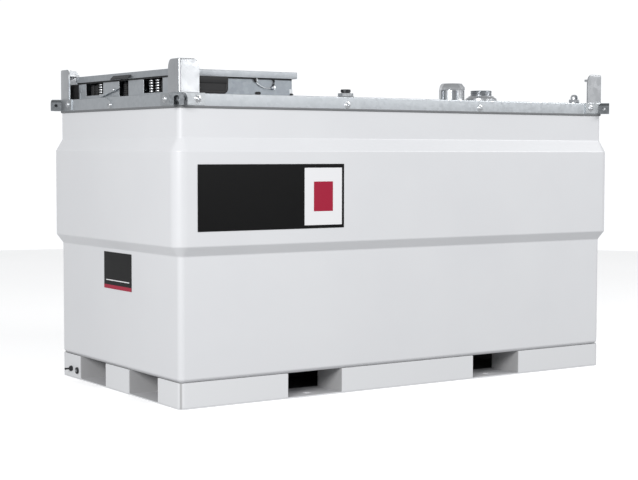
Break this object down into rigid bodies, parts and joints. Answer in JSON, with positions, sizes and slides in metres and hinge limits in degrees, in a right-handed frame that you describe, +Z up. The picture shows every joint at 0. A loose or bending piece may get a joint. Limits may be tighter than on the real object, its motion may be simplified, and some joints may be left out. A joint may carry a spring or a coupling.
{
  "type": "transportable fuel storage tank",
  "caption": "Rectangular double-walled steel fuel tank with raised belly, four-way fork pockets, corner stacking posts, lifting eyes and a low equipment cabinet under a hinged lid.",
  "frame": {"origin": "centre of the footprint, on the ground", "axes": "+X along the long side away from the equipment cabinet, +Y across the tank, +Z up"},
  "size_m": [2.3928, 1.2328, 1.403],
  "materials": {
    "white_coating": "semi-gloss",
    "galvanised_steel": "satin",
    "bright_zinc_steel": "satin",
    "black_rubber": "matte",
    "blackened_steel": "satin"
  },
  "bodies": {
    "tank": {"base_plate": "white_coating", "base_cell_centre": "white_coating", "skirt_front": "white_coating", "skirt_back": "white_coating", "skirt_left_end": "white_coating", "skirt_right_end": "white_coating", "skirt_corner_front_left": "white_coating", "skirt_corner_front_right": "white_coating", "skirt_corner_back_left": "white_coating", "skirt_corner_back_right": "white_coating", "tank_floor": "white_coating", "front_wall": "white_coating", "back_wall": "white_coating", "left_end_wall": "white_coating", "right_end_wall": "white_coating", "top_cover": "galvanised_steel", "lifting_bracket_front_left": "bright_zinc_steel", "lifting_bracket_front_right": "bright_zinc_steel", "lifting_bracket_back_left": "bright_zinc_steel", "lifting_bracket_back_right": "bright_zinc_steel", "stacking_post_front_left": "galvanised_steel", "stacking_post_front_right": "galvanised_steel", "stacking_post_back_left": "galvanised_steel", "stacking_post_back_right": "galvanised_steel", "cabinet_end_wall": "galvanised_steel", "cabinet_front_wall": "galvanised_steel", "cabinet_back_wall": "galvanised_steel", "cabinet_inner_wall": "galvanised_steel", "lid_hinge_front": "galvanised_steel", "lid_hinge_back": "galvanised_steel", "lid_catch_front": "bright_zinc_steel", "lid_catch_back": "bright_zinc_steel", "latch_lever": "bright_zinc_steel", "hose_boot_front": "black_rubber", "hose_boot_back": "black_rubber", "hose_coupling_1": "bright_zinc_steel", "hose_coupling_2": "bright_zinc_steel", "hose_coupling_3": "bright_zinc_steel", "fill_port": "galvanised_steel", "relief_vent": "galvanised_steel", "gauge_plug": "galvanised_steel", "vent_dome": "bright_zinc_steel", "drain_plug": "galvanised_steel", "drain_valve": "blackened_steel"},
    "lid": {"cabinet_lid": "galvanised_steel", "lid_pull": "blackened_steel"}
  },
  "joints": [
    {"name": "lid_hinge", "type": "hinge", "parent": "tank", "child": "lid", "pos_m": [-0.5343, 0, 1.35], "axis": [0, 1, 0], "range_deg": [0, 80]}
  ]
}
